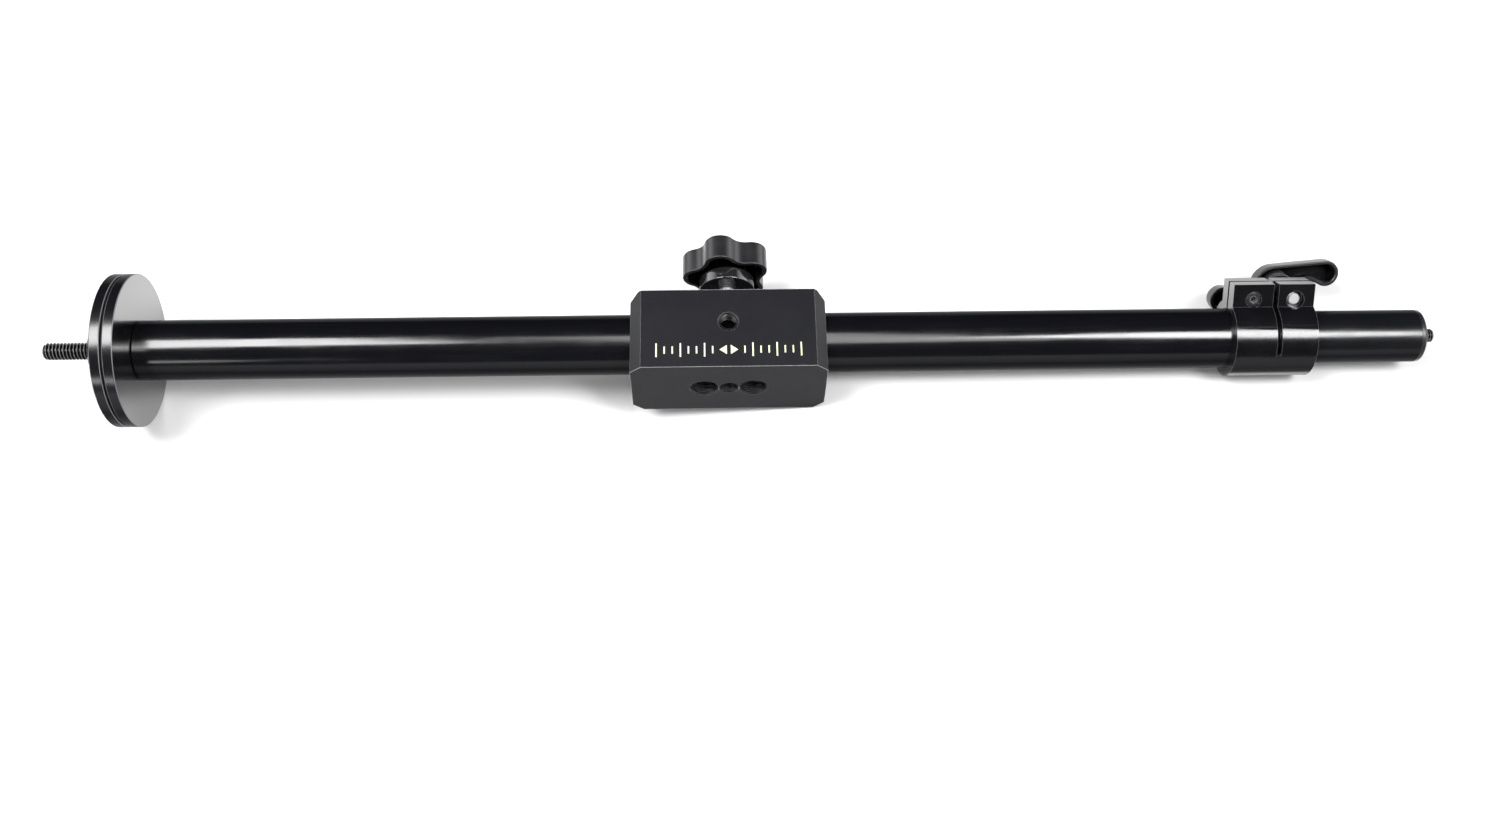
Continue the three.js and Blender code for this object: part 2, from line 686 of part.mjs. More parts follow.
const cameraRail = new THREE.Group();
cameraRail.add(leftEnd(), tubes(), carriage(), lockAssembly(), clampAssembly());
cameraRail.position.set(-boxCentreX, -boxCentreY, 0);

export default cameraRail;
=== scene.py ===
"""The looks of a telescoping camera slider rail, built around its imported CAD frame.

Shapes are worked out in millimetres in the row frame and written to the meshes in metres.
+X runs along the tubes, +Y points to the lock knob, +Z is the carriage's accessory face.
"""

import json
import math

import bmesh
import bpy
import numpy as np
from mathutils import Matrix, Vector

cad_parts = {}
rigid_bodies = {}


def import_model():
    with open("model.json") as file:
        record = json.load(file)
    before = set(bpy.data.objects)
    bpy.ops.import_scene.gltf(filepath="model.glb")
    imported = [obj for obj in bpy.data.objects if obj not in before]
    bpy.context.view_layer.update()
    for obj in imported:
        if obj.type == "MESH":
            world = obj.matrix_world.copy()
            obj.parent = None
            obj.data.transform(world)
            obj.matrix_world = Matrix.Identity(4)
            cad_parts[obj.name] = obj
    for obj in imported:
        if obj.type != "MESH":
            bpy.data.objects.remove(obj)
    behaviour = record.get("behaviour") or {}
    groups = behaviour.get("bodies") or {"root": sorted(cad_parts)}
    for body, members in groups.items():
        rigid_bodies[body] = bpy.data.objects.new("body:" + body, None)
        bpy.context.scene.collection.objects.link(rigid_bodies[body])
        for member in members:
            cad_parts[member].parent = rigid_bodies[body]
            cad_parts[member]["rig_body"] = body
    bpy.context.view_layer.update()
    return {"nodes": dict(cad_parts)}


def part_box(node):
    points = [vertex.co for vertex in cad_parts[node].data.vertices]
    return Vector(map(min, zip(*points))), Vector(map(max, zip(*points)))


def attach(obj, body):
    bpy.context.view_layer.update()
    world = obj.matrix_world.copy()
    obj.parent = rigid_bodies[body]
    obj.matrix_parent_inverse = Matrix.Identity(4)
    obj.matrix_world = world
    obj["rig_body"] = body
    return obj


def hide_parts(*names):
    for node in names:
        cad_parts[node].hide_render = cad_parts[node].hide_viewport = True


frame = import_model()

MM = 0.001
TAU = 2 * math.pi
# Points this close are one point, and an edge this short is no edge, in metres.
SAME_POINT = 1e-7
NO_LENGTH = 1e-8
# How far a cutting tool runs past the piece that it cuts, in millimetres.
PAST = 5
# A rod of this many segments is a hexagon.
HEXAGON = 6
scene = bpy.context.scene


def bore_centre():
    """The centre of the carriage's bore in the row frame: all shapes are built about it."""
    block_low, block_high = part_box("carriage_block")
    tube_low, tube_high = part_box("outer_tube")
    along = (block_low.x + block_high.x) / 2
    return Vector((along, (tube_low.y + tube_high.y) / 2, (tube_low.z + tube_high.z) / 2))


CENTRE = bore_centre()


def span(node):
    """The box of a CAD node about the bore's centre, in millimetres: lowest, highest corner."""
    low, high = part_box(node)
    return (low - CENTRE) / MM, (high - CENTRE) / MM


# ---- shape tools


def turn_matrix(axis, angle):
    return Matrix.Rotation(angle, 4, axis)


def rounded(corners, steps=4):
    """A closed outline from (x, y, fillet radius) corners, each fillet cut into steps."""
    count = len(corners)
    points = []
    for i, (x, y, radius) in enumerate(corners):
        here = np.array([x, y], float)
        if not radius:
            points.append(here)
            continue
        before = np.array(corners[i - 1][:2], float) - here
        after = np.array(corners[(i + 1) % count][:2], float) - here
        before /= np.linalg.norm(before)
        after /= np.linalg.norm(after)
        half = math.acos(np.clip(before @ after, -1, 1)) / 2
        middle = before + after
        centre = here + middle / np.linalg.norm(middle) * radius / math.sin(half)
        reach = radius / math.tan(half)
        start = here + before * reach - centre
        end = here + after * reach - centre
        first = math.atan2(start[1], start[0])
        sweep = (math.atan2(end[1], end[0]) - first + math.pi) % TAU - math.pi
        for k in range(steps + 1):
            a = first + sweep * k / steps
            points.append(centre + radius * np.array([math.cos(a), math.sin(a)]))
    return points


def new_piece(name, verts, faces, sharp=35):
    """A mesh object from points in millimetres, smooth except across sharp edges."""
    mesh = bpy.data.meshes.new(name)
    mesh.from_pydata([tuple(np.array(v, float) * MM) for v in verts], [], faces)
    work = bmesh.new()
    work.from_mesh(mesh)
    bmesh.ops.remove_doubles(work, verts=work.verts, dist=SAME_POINT)
    bmesh.ops.dissolve_degenerate(work, edges=work.edges, dist=NO_LENGTH)
    bmesh.ops.recalc_face_normals(work, faces=work.faces)
    work.to_mesh(mesh)
    work.free()
    piece = bpy.data.objects.new(name, mesh)
    scene.collection.objects.link(piece)
    piece["sharp"] = sharp
    return piece


def soften(piece):
    """Smooth shading that leaves large flats flat and breaks at sharp edges. It comes after
    every turn of the piece, because a turned mesh doesn't turn these normals with it."""
    piece.data.shade_smooth()
    piece.data.set_sharp_from_angle(angle=math.radians(piece["sharp"]))
    with_modifier(piece, "WEIGHTED_NORMAL", mode="FACE_AREA", weight=100, keep_sharp=True)


def with_modifier(piece, kind, **settings):
    """Applies one modifier to the piece's mesh."""
    modifier = piece.modifiers.new(kind.title(), kind)
    for key, value in settings.items():
        setattr(modifier, key, value)
    graph = bpy.context.evaluated_depsgraph_get()
    made = bpy.data.meshes.new_from_object(piece.evaluated_get(graph))
    piece.modifiers.clear()
    old, piece.data = piece.data, made
    bpy.data.meshes.remove(old)


def boolean(piece, tool, operation="DIFFERENCE"):
    with_modifier(piece, "BOOLEAN", object=tool, operation=operation, solver="EXACT")
    mesh = tool.data
    bpy.data.objects.remove(tool)
    bpy.data.meshes.remove(mesh)
    return piece


def edge_break(piece, width):
    """Rounds every edge that turns by more than 32 degrees to a narrow band."""
    with_modifier(
        piece,
        "BEVEL",
        width=width * MM,
        segments=2,
        limit_method="ANGLE",
        angle_limit=math.radians(32),
        use_clamp_overlap=True,
        miter_outer="MITER_ARC",
    )
    piece["sharp"] = 20


def loft(name, loops, sharp=35, caps=True):
    """A skin through loops of equally many 3-D points, its first and last loops capped."""
    size = len(loops[0])
    verts = [p for loop in loops for p in loop]
    faces = []
    for k in range(len(loops) - 1):
        for i in range(size):
            j = (i + 1) % size
            faces.append((k * size + i, k * size + j, (k + 1) * size + j, (k + 1) * size + i))
    if caps:
        faces.append(tuple(range(size - 1, -1, -1)))
        faces.append(tuple(range((len(loops) - 1) * size, len(loops) * size)))
    return new_piece(name, verts, faces, sharp)


def around(x, radius, angle):
    """A point on a circle about the X axis."""
    return (x, radius * math.cos(angle), radius * math.sin(angle))


def lathe(name, profile, segments):
    """A closed profile of (x, radius) points turned about the X axis."""
    verts = []
    for k in range(segments):
        verts += [around(x, r, TAU * k / segments) for x, r in profile]
    size = len(profile)
    faces = []
    for k in range(segments):
        base, following = k * size, ((k + 1) % segments) * size
        for i in range(size):
            j = (i + 1) % size
            faces.append((base + i, base + j, following + j, following + i))
    return new_piece(name, verts, faces)


def rod(name, left, right, radius, edge=0.0, segments=64):
    corners = [(left, 0, 0), (left, radius, edge), (right, radius, edge), (right, 0, 0)]
    return lathe(name, rounded(corners), segments)


def ring(name, left, right, outer, inner, edge=0.3, inner_edge=0.2, segments=128):
    corners = [
        (left, inner, inner_edge),
        (left, outer, edge),
        (right, outer, edge),
        (right, inner, inner_edge),
    ]
    return lathe(name, rounded(corners), segments)


def move(piece, matrix):
    """Moves a piece's own points by a matrix whose translation is in millimetres."""
    scaled = matrix.copy()
    scaled.translation = matrix.translation * MM
    piece.data.transform(scaled)
    return piece


X_TO_Y = turn_matrix("Z", math.pi / 2)
X_TO_Z = turn_matrix("Y", -math.pi / 2)


def turn_to_z(piece):
    """A piece turned about X becomes one about Z."""
    return move(piece, X_TO_Z)


# How many rows of points one thread pitch gets, and the angle that its facets stay sharp at.
ROWS_PER_PITCH = 12
THREAD_SHARP = 50


def thread_depth(phase, depth):
    """How far below the crest a 60 degree thread lies at a phase from 0 to 1."""
    crest, root = 0.125, 0.25
    rise = (1 - crest - root) / 2
    phase = phase % 1.0
    if phase < crest:
        return 0.0
    if phase < crest + rise:
        return depth * (phase - crest) / rise
    if phase < crest + rise + root:
        return depth
    return depth * (1 - phase) / rise


def threaded_rod(name, left, right, radius, pitch, chamfer, segments=72):
    """A right-hand thread cut on a rod along X, its ends chamfered."""
    depth = 0.6 * pitch
    rows = int((right - left) / pitch * ROWS_PER_PITCH)
    loops = []
    for k in range(rows + 1):
        x = left + (right - left) * k / rows
        end = min(x - left, right - x)
        limit = radius - max(0.0, chamfer - end)
        loop = []
        for i in range(segments):
            share = i / segments
            r = radius - thread_depth(x / pitch - share, depth)
            loop.append(around(x, min(r, limit), TAU * share))
        loops.append(loop)
    return loft(name, loops, sharp=THREAD_SHARP)


def threaded_hole(name, depth, minor, major, pitch, segments=64):
    """A sleeve whose inner wall is a right-hand thread, running from x = 0 to x = -depth."""
    rows = int(depth / pitch * ROWS_PER_PITCH)
    skin = 0.25
    shares = [i / segments for i in range(segments)]
    loops = []
    for k in range(rows + 1):
        x = -depth * k / rows
        loop = []
        for share in shares:
            r = minor + thread_depth(x / pitch - share + 0.5, major - minor)
            loop.append(around(x, r, TAU * share))
        loops.append(loop)
    for x in (-depth, 0.0):
        loops.append([around(x, major + skin, TAU * share) for share in shares])
    loops.append(loops[0])
    return loft(name, loops, sharp=THREAD_SHARP, caps=False)


# ---- materials


def link(tree, start, end):
    tree.links.new(start, end)


class Surface:
    """A Principled material in row-frame coordinates, with its grain added node by node."""

    def __init__(self, name, colour, roughness, metallic=0.0, specular=0.5):
        self.material = bpy.data.materials.new(name)
        self.material.use_nodes = True
        self.tree = self.material.node_tree
        self.shader = self.tree.nodes["Principled BSDF"]
        self.shader.inputs["Metallic"].default_value = metallic
        self.specular = self.value(specular)
        self.coordinates = self.node("ShaderNodeTexCoord").outputs["Object"]
        colour_node = self.node("ShaderNodeRGB")
        colour_node.outputs[0].default_value = (*colour, 1)
        self.colour = colour_node.outputs[0]
        self.roughness = self.value(roughness)
        self.normal = None

    def node(self, kind, **settings):
        made = self.tree.nodes.new(kind)
        for key, setting in settings.items():
            setattr(made, key, setting)
        return made

    def value(self, number):
        made = self.node("ShaderNodeValue")
        made.outputs[0].default_value = number
        return made.outputs[0]

    def noise(self, scale, stretch=(1, 1, 1), detail=4.0, roughness=0.6):
        mapping = self.node("ShaderNodeMapping")
        mapping.inputs["Scale"].default_value = stretch
        link(self.tree, self.coordinates, mapping.inputs["Vector"])
        noise = self.node("ShaderNodeTexNoise")
        noise.inputs["Scale"].default_value = scale
        noise.inputs["Detail"].default_value = detail
        noise.inputs["Roughness"].default_value = roughness
        link(self.tree, mapping.outputs["Vector"], noise.inputs["Vector"])
        return noise.outputs["Fac"]

    def ramp(self, source, low, high, to_low=0.0, to_high=1.0):
        mapped = self.node("ShaderNodeMapRange")
        for key, value in zip(
            ("From Min", "From Max", "To Min", "To Max"), (low, high, to_low, to_high)
        ):
            mapped.inputs[key].default_value = value
        link(self.tree, source, mapped.inputs["Value"])
        return mapped.outputs["Result"]

    def maths(self, operation, a, b):
        made = self.node("ShaderNodeMath", operation=operation)
        for value, socket in ((a, made.inputs[0]), (b, made.inputs[1])):
            if isinstance(value, (int, float)):
                socket.default_value = value
            else:
                link(self.tree, value, socket)
        return made.outputs[0]

    def tint(self, mask, colour):
        """Mixes another colour in where the mask is 1."""
        mix = self.node("ShaderNodeMix", data_type="RGBA")
        link(self.tree, mask, mix.inputs["Factor"])
        link(self.tree, self.colour, mix.inputs[6])
        mix.inputs[7].default_value = (*colour, 1)
        self.colour = mix.outputs[2]

    def vary_roughness(self, mask, amount):
        """Adds amount to the roughness where the mask is 1, and takes it away where it is 0."""
        shift = self.maths("MULTIPLY", self.maths("SUBTRACT", mask, 0.5), 2 * amount)
        self.roughness = self.maths("ADD", self.roughness, shift)

    def bump(self, height, depth_mm, strength):
        bump = self.node("ShaderNodeBump")
        bump.inputs["Strength"].default_value = strength
        bump.inputs["Distance"].default_value = depth_mm * MM
        link(self.tree, height, bump.inputs["Height"])
        if self.normal:
            link(self.tree, self.normal, bump.inputs["Normal"])
        self.normal = bump.outputs["Normal"]

    def edge_mask(self, radius_mm, low, high):
        """1 near a sharp edge, 0 on a flat."""
        bevel = self.node("ShaderNodeBevel", samples=6)
        bevel.inputs["Radius"].default_value = radius_mm * MM
        geometry = self.node("ShaderNodeNewGeometry")
        dot = self.node("ShaderNodeVectorMath", operation="DOT_PRODUCT")
        link(self.tree, bevel.outputs["Normal"], dot.inputs[0])
        link(self.tree, geometry.outputs["Normal"], dot.inputs[1])
        return self.ramp(self.maths("SUBTRACT", 1.0, dot.outputs["Value"]), low, high)

    def near_mask(self, near, far):
        """1 within the near distance of the surface's own origin in metres, 0 past the far one."""
        length = self.node("ShaderNodeVectorMath", operation="LENGTH")
        link(self.tree, self.coordinates, length.inputs[0])
        return self.ramp(length.outputs["Value"], near, far, 1.0, 0.0)

    def along_square(self):
        """1 where the surface looks along X, 0 where it looks square to it."""
        geometry = self.node("ShaderNodeNewGeometry")
        parts = self.node("ShaderNodeSeparateXYZ")
        link(self.tree, geometry.outputs["Normal"], parts.inputs[0])
        return self.maths("MULTIPLY", parts.outputs["X"], parts.outputs["X"])

    def chamfer_mask(self):
        """1 on a turned part's chamfers, which face neither along X nor square to it."""
        square = self.along_square()
        return self.maths(
            "MULTIPLY", self.ramp(square, 0.02, 0.15), self.ramp(square, 0.85, 0.98, 1.0, 0.0)
        )

    def crest_mask(self):
        """1 on the crests of a thread and on fine outer corners."""
        geometry = self.node("ShaderNodeNewGeometry")
        return self.ramp(geometry.outputs["Pointiness"], 0.53, 0.6)

    def recess_mask(self, reach_mm):
        """1 deep in a hole or a hollow, 0 on an open face."""
        shade = self.node("ShaderNodeAmbientOcclusion", samples=6)
        shade.inputs["Distance"].default_value = reach_mm * MM
        return self.ramp(shade.outputs["AO"], 0.4, 0.85, 1.0, 0.0)

    def fade_edges(self, low, high, to):
        """Weakens the reflection where the surface turns away, as a fine-grained finish does."""
        facing = self.node("ShaderNodeLayerWeight")
        facing.inputs["Blend"].default_value = 0.5
        kept = self.ramp(facing.outputs["Facing"], low, high, 1.0, to)
        self.specular = self.maths("MULTIPLY", self.specular, kept)

    def paint_recess_shade(self, reach_mm, colour):
        """Painted shade: deep in a hole or a hollow the colour darkens and the reflection dies
        away.
        """
        mask = self.recess_mask(reach_mm)
        self.tint(mask, colour)
        self.specular = self.maths("MULTIPLY", self.specular, self.maths("SUBTRACT", 1.0, mask))

    def done(self):
        link(self.tree, self.colour, self.shader.inputs["Base Color"])
        link(self.tree, self.roughness, self.shader.inputs["Roughness"])
        link(self.tree, self.specular, self.shader.inputs["Specular IOR Level"])
        if self.normal:
            link(self.tree, self.normal, self.shader.inputs["Normal"])
        return self.material


LONG_GRAIN = (0.04, 1, 1)


def tube_black(name, roughness, colour=(0.0022, 0.0024, 0.0034)):
    """Drawn and anodised tube: fine grain along its length, a little cloudiness."""
    s = Surface(name, colour, roughness)
    grain = s.noise(900, LONG_GRAIN, detail=3)
    cloud = s.noise(45, detail=3)
    s.vary_roughness(s.ramp(cloud, 0.35, 0.65), 0.03)
    s.vary_roughness(s.ramp(grain, 0.3, 0.7), 0.03)
    s.tint(s.ramp(grain, 0.55, 0.9, 0, 0.35), (0.010, 0.0105, 0.013))
    s.bump(grain, 0.006, 0.6)
    s.fade_edges(0.1, 0.38, 0.08)
    return s.done()


def block_black():
    """Bead-blasted and anodised: matt, faintly blue; painted highlight on edges, painted shade in
    holes.
    """
    s = Surface("block_anodised", (0.0042, 0.0044, 0.0062), 0.4, specular=0.32)
    fine = s.noise(2600, detail=5, roughness=0.7)
    cloud = s.noise(60, detail=4)
    s.tint(s.ramp(cloud, 0.4, 0.75, 0, 0.6), (0.008, 0.0083, 0.011))
    # Painted highlight: the fine edge bevels are painted a light grey.
    s.tint(s.edge_mask(0.4, 0.03, 0.2), (0.4, 0.4, 0.42))
    # Painted shade: the holes' interiors are painted darker and lose their reflection.
    s.paint_recess_shade(6, (0.0012, 0.0012, 0.0015))
    s.vary_roughness(s.ramp(fine, 0.3, 0.7), 0.07)
    s.bump(fine, 0.02, 0.8)
    s.fade_edges(0.3, 0.8, 0.3)
    return s.done()


def plate_black():
    """Polished black plate: almost black head on, a mirror at a slant."""
    s = Surface("plate_polished", (0.0035, 0.0035, 0.0048), 0.22)
    turning = s.noise(700, (6, 1, 1), detail=2)
    cloud = s.noise(80, detail=3)
    s.vary_roughness(s.ramp(cloud, 0.35, 0.7), 0.02)
    s.tint(s.ramp(turning, 0.6, 0.95, 0, 0.4), (0.015, 0.015, 0.018))
    # Painted highlight: the rim chamfers are painted a lighter grey.
    s.tint(s.chamfer_mask(), (0.11, 0.11, 0.12))
    s.bump(turning, 0.002, 0.4)
    s.fade_edges(0.15, 0.45, 0.08)
    return slant_mirror(s, (0.42, 0.66), (0.0, 1.0), 0.14, 0.7)


def slant_mirror(s, slants, shares, roughness, grey):
    """Polished black turns to a grey mirror where it is seen at a slant. The second share is
    for faces that look along the tube, the first for all others."""
    material = s.done()
    facing = s.node("ShaderNodeLayerWeight")
    facing.inputs["Blend"].default_value = 0.5
    slant = s.ramp(facing.outputs["Facing"], *slants)
    share = s.ramp(s.along_square(), 0.6, 0.9, *shares)
    mirror = s.node("ShaderNodeBsdfAnisotropic")
    mirror.inputs["Color"].default_value = (grey, grey, grey, 1)
    mirror.inputs["Roughness"].default_value = roughness
    mix = s.node("ShaderNodeMixShader")
    link(s.tree, s.maths("MULTIPLY", slant, share), mix.inputs["Fac"])
    link(s.tree, s.shader.outputs["BSDF"], mix.inputs[1])
    link(s.tree, mirror.outputs["BSDF"], mix.inputs[2])
    link(s.tree, mix.outputs["Shader"], s.tree.nodes["Material Output"].inputs["Surface"])
    return material


def clamp_black():
    """Machined and anodised, with a painted highlight along its fine edges."""
    s = Surface("clamp_anodised", (0.0018, 0.0019, 0.0027), 0.2)
    fine = s.noise(1800, detail=4)
    cloud = s.noise(90, detail=3)
    s.tint(s.ramp(cloud, 0.45, 0.8, 0, 0.6), (0.005, 0.005, 0.0065))
    # Painted highlight: the fine edges are painted a lighter grey.
    s.tint(s.edge_mask(0.3, 0.03, 0.3), (0.14, 0.14, 0.15))
    s.vary_roughness(s.ramp(fine, 0.3, 0.7), 0.05)
    s.fade_edges(0.12, 0.45, 0.15)
    s.bump(fine, 0.008, 0.7)
    return slant_mirror(s, (0.6, 0.74), (0.45, 1.0), 0.2, 1.0)


def moulded_black():
    """Glass-filled nylon: faintly pebbled, with painted edge highlights and painted shade in its
    hollows.
    """
    s = Surface("moulded_nylon", (0.0062, 0.0062, 0.0078), 0.34)
    pebble = s.noise(1500, detail=3)
    cloud = s.noise(110, detail=4)
    s.tint(s.ramp(cloud, 0.4, 0.8, 0, 0.7), (0.012, 0.012, 0.0145))
    # Painted highlight: the fine edges are painted a lighter grey.
    s.tint(s.edge_mask(0.35, 0.06, 0.35), (0.15, 0.15, 0.16))
    s.vary_roughness(s.ramp(cloud, 0.3, 0.7), 0.05)
    # Painted shade: the hollows are painted darker and lose their reflection.
    s.paint_recess_shade(12, (0.0015, 0.0015, 0.002))
    s.bump(pebble, 0.03, 0.6)
    return slant_mirror(s, (0.55, 0.85), (0.5, 0.5), 0.3, 1.0)


def dull_black(name, colour=(0.012, 0.012, 0.012), roughness=0.7):
    """Plain plastic or fibre with a dusty grain."""
    s = Surface(name, colour, roughness)
    fine = s.noise(1800, detail=4)
    s.tint(s.ramp(fine, 0.5, 0.85, 0, 0.6), (0.035, 0.035, 0.036))
    s.vary_roughness(s.ramp(fine, 0.3, 0.7), 0.08)
    s.bump(fine, 0.03, 0.7)
    return s.done()


def steel(name, colour, roughness, metallic, wear_and_edge_highlight, edge=0.2):
    """Fine streaks and spots, with its edges painted another colour: partly wear, partly a painted
    highlight.
    """
    s = Surface(name, colour, roughness, metallic)
    streak = s.noise(1200, (0.3, 1, 1), detail=3)
    spot = s.noise(500, detail=4)
    s.tint(s.ramp(spot, 0.5, 0.85, 0, 0.4), tuple(c * 0.6 for c in colour))
    # Edges painted light: partly wear, partly a painted highlight.
    s.tint(s.edge_mask(edge, 0.05, 0.4), wear_and_edge_highlight)
    s.vary_roughness(s.ramp(streak, 0.3, 0.7), 0.08)
    s.bump(streak, 0.006, 0.5)
    return s.done()


def thread_black():
    """Black-oxide screw thread, its crests painted light: partly rubbed wear, partly a painted
    highlight.
    """
    s = Surface("black_oxide_steel", (0.002, 0.002, 0.003), 0.22, specular=0.35)
    streak = s.noise(1200, (0.3, 1, 1), detail=3)
    # Crests painted light: partly rubbed wear, partly a painted highlight.
    s.tint(s.crest_mask(), (0.3, 0.3, 0.31))
    s.vary_roughness(s.ramp(streak, 0.3, 0.7), 0.08)
    s.bump(streak, 0.006, 0.5)
    return s.done()


def turned_aluminium():
    s = Surface("bare_aluminium", (0.58, 0.59, 0.6), 0.35, 1.0)
    turning = s.noise(1500, (8, 1, 1), detail=2)
    s.vary_roughness(s.ramp(turning, 0.3, 0.7), 0.1)
    s.tint(s.ramp(turning, 0.5, 0.9, 0, 0.4), (0.42, 0.43, 0.44))
    s.bump(turning, 0.01, 0.6)
    return s.done()


def print_ink():
    s = Surface("printed_mark", (0.55, 0.58, 0.42), 0.55)
    fleck = s.noise(2200, detail=4)
    s.tint(s.ramp(fleck, 0.52, 0.75, 0, 0.7), (0.25, 0.26, 0.2))
    s.vary_roughness(s.ramp(fleck, 0.3, 0.7), 0.08)
    s.bump(fleck, 0.01, 0.5)
    return s.done()


BLOCK = block_black()
TUBE = tube_black("tube_anodised", 0.17)
INNER = tube_black("inner_tube_anodised", 0.24, (0.0035, 0.0038, 0.005))
THREAD = tube_black("thread_anodised", 0.35, (0.002, 0.002, 0.0025))
PLATE = plate_black()
CLAMP = clamp_black()
NYLON = moulded_black()
ACETAL = dull_black("black_acetal")
FIBRE = dull_black("fibre_washer", (0.006, 0.006, 0.006), 0.85)
BLACK_STEEL = thread_black()
SOCKET_STEEL = steel("socket_screw_steel", (0.02, 0.02, 0.021), 0.25, 0.2, (0.8, 0.8, 0.8), 0.3)
POLISHED_STEEL = steel("polished_black_steel", (0.09, 0.09, 0.095), 0.1, 0.9, (0.5, 0.5, 0.5))
BRIGHT_STEEL = steel("bright_steel", (0.5, 0.5, 0.51), 0.42, 0.6, (0.75, 0.75, 0.76))
ALUMINIUM = turned_aluminium()
INK = print_ink()

BODY_OF = {node: obj["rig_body"] for node, obj in frame["nodes"].items()}


def put(piece, node, material, stands_for=True):
    """Gives a piece its material and lets it ride on a CAD node's body, in that node's place."""
    piece.data.transform(Matrix.Translation(CENTRE))
    soften(piece)
    piece.data.materials.clear()
    piece.data.materials.append(material)
    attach(piece, BODY_OF[node])
    if stands_for:
        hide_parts(node)


# ---- tubes

TUBE_SEGMENTS = 160


def build_tubes():
    low, high = span("outer_tube")
    wall = 1.1
    corners = [
        (low.x, high.y - wall, 0.15),
        (low.x, high.y, 0.55),
        (high.x, high.y, 0.25),
        (high.x, high.y - wall, 0.25),
    ]
    put(lathe("outer_tube_skin", rounded(corners), segments=224), "outer_tube", TUBE)
    build_inner_tube()
    build_end_cap()


def build_inner_tube():
    """The inner tube, turned down at its tail for the guide bush and its snap ring."""
    low, high = span("inner_tube")
    wall = 1.5
    tail, tail_radius = 13.7, 8.9
    corners = [
        (low.x, high.y - wall, 0.2),
        (low.x, tail_radius, 0.2),
        (low.x + tail, tail_radius, 0.1),
        (low.x + tail, high.y, 0.3),
        (high.x, high.y, 0.12),
        (high.x, high.y - wall, 0.12),
    ]
    put(lathe("inner_tube_skin", rounded(corners), segments=208), "inner_tube", INNER)

    bush_bore, snap_bore = tail_radius + 0.15, tail_radius + 0.05
    low, high = span("tail_bush")
    put(ring("tail_guide_bush", low.x, high.x, high.y, bush_bore), "tail_bush", ACETAL)
    low, high = span("tail_retaining_ring")
    snap = ring("tail_snap_ring", low.x, high.x, high.y, snap_bore, 0.15, 0.1)
    put(snap, "tail_retaining_ring", BRIGHT_STEEL)


def build_end_cap():
    """The cap's spigot sits in the tube and its flange on the tube's end, with a shallow dish
    round the stud."""
    low, high = span("end_cap")
    seat = span("inner_tube")[1].x
    bore, spigot = 2.6, 8.2
    dish, dish_floor, dish_depth = 3.6, 3.3, 0.35
    corners = [
        (low.x, bore, 0.2),
        (low.x, spigot, 0.5),
        (seat, spigot, 0),
        (seat, high.y, 0.12),
        (high.x, high.y, 0.85),
        (high.x, dish, 0.1),
        (high.x - dish_depth, dish_floor, 0.1),
        (high.x - dish_depth, bore, 0),
    ]
    put(lathe("end_cap_shell", rounded(corners), TUBE_SEGMENTS), "end_cap", NYLON)
    low, high = span("end_screw")
    pitch, chamfer = 0.8, 0.5
    stud = threaded_rod("end_stud", low.x, high.x, high.y, pitch, chamfer)
    put(stud, "end_screw", BLACK_STEEL)


# ---- left end

QUARTER_INCH_PITCH = 1.27


def knurled_ring(name, left, right, radius, bore, ribs=52, depth=0.42):
    """A nut with straight ribs, its ends turned down to a chamfer."""
    per_rib = 6
    segments = ribs * per_rib
    ends, mouth = 0.75, 0.45
    rim, corner = radius - depth - ends * 0.9, radius - depth - ends * 0.35
    stations = [
        (left, bore + mouth),
        (left, rim),
        (left + ends * 0.35, corner),
        (left + ends, radius),
        (right - ends, radius),
        (right - ends * 0.35, corner),
        (right, rim),
        (right, bore + mouth),
        (right - mouth, bore),
        (left + mouth, bore),
    ]
    loops = []
    for x, reach in stations:
        loop = []
        for i in range(segments):
            phase = (i % per_rib) / per_rib
            rib = radius - depth * abs(2 * phase - 1) ** 1.4
            r = min(reach, rib) if reach > bore + 1 else reach
            loop.append(around(x, r, TAU * i / segments))
        loops.append(loop)
    loops.append(loops[0])
    return loft(name, loops, sharp=40, caps=False)


def build_left_end():
    """Two discs with a fibre washer between them, the plug, the stud and its locking nut."""
    plate_bore, stud_bore = 3.4, 3.3
    for node, name in (("inner_plate", "inner_disc"), ("swivel_plate", "outer_disc")):
        low, high = span(node)
        disc = ring(name, low.x, high.x, high.y, plate_bore, 0.35, 0.3, 256)
        put(disc, node, PLATE)
    low, high = span("friction_washer")
    washer = ring("fibre_disc", low.x, high.x, high.y, plate_bore, 0.05, 0.05)
    put(washer, "friction_washer", FIBRE)
    build_plug(stud_bore)

    low, high = span("mounting_stud")
    chamfer = 0.75
    stud = threaded_rod("left_stud", low.x, high.x, high.y, QUARTER_INCH_PITCH, chamfer, 80)
    put(stud, "mounting_stud", BLACK_STEEL)
    low, high = span("nut_washer")
    washer = ring("thrust_washer", low.x, high.x, high.y, stud_bore, 0.15, 0.1)
    put(washer, "nut_washer", BLACK_STEEL)
    low, high = span("knurled_nut")
    put(knurled_ring("ribbed_nut", low.x, high.x, high.y, stud_bore), "knurled_nut", CLAMP)


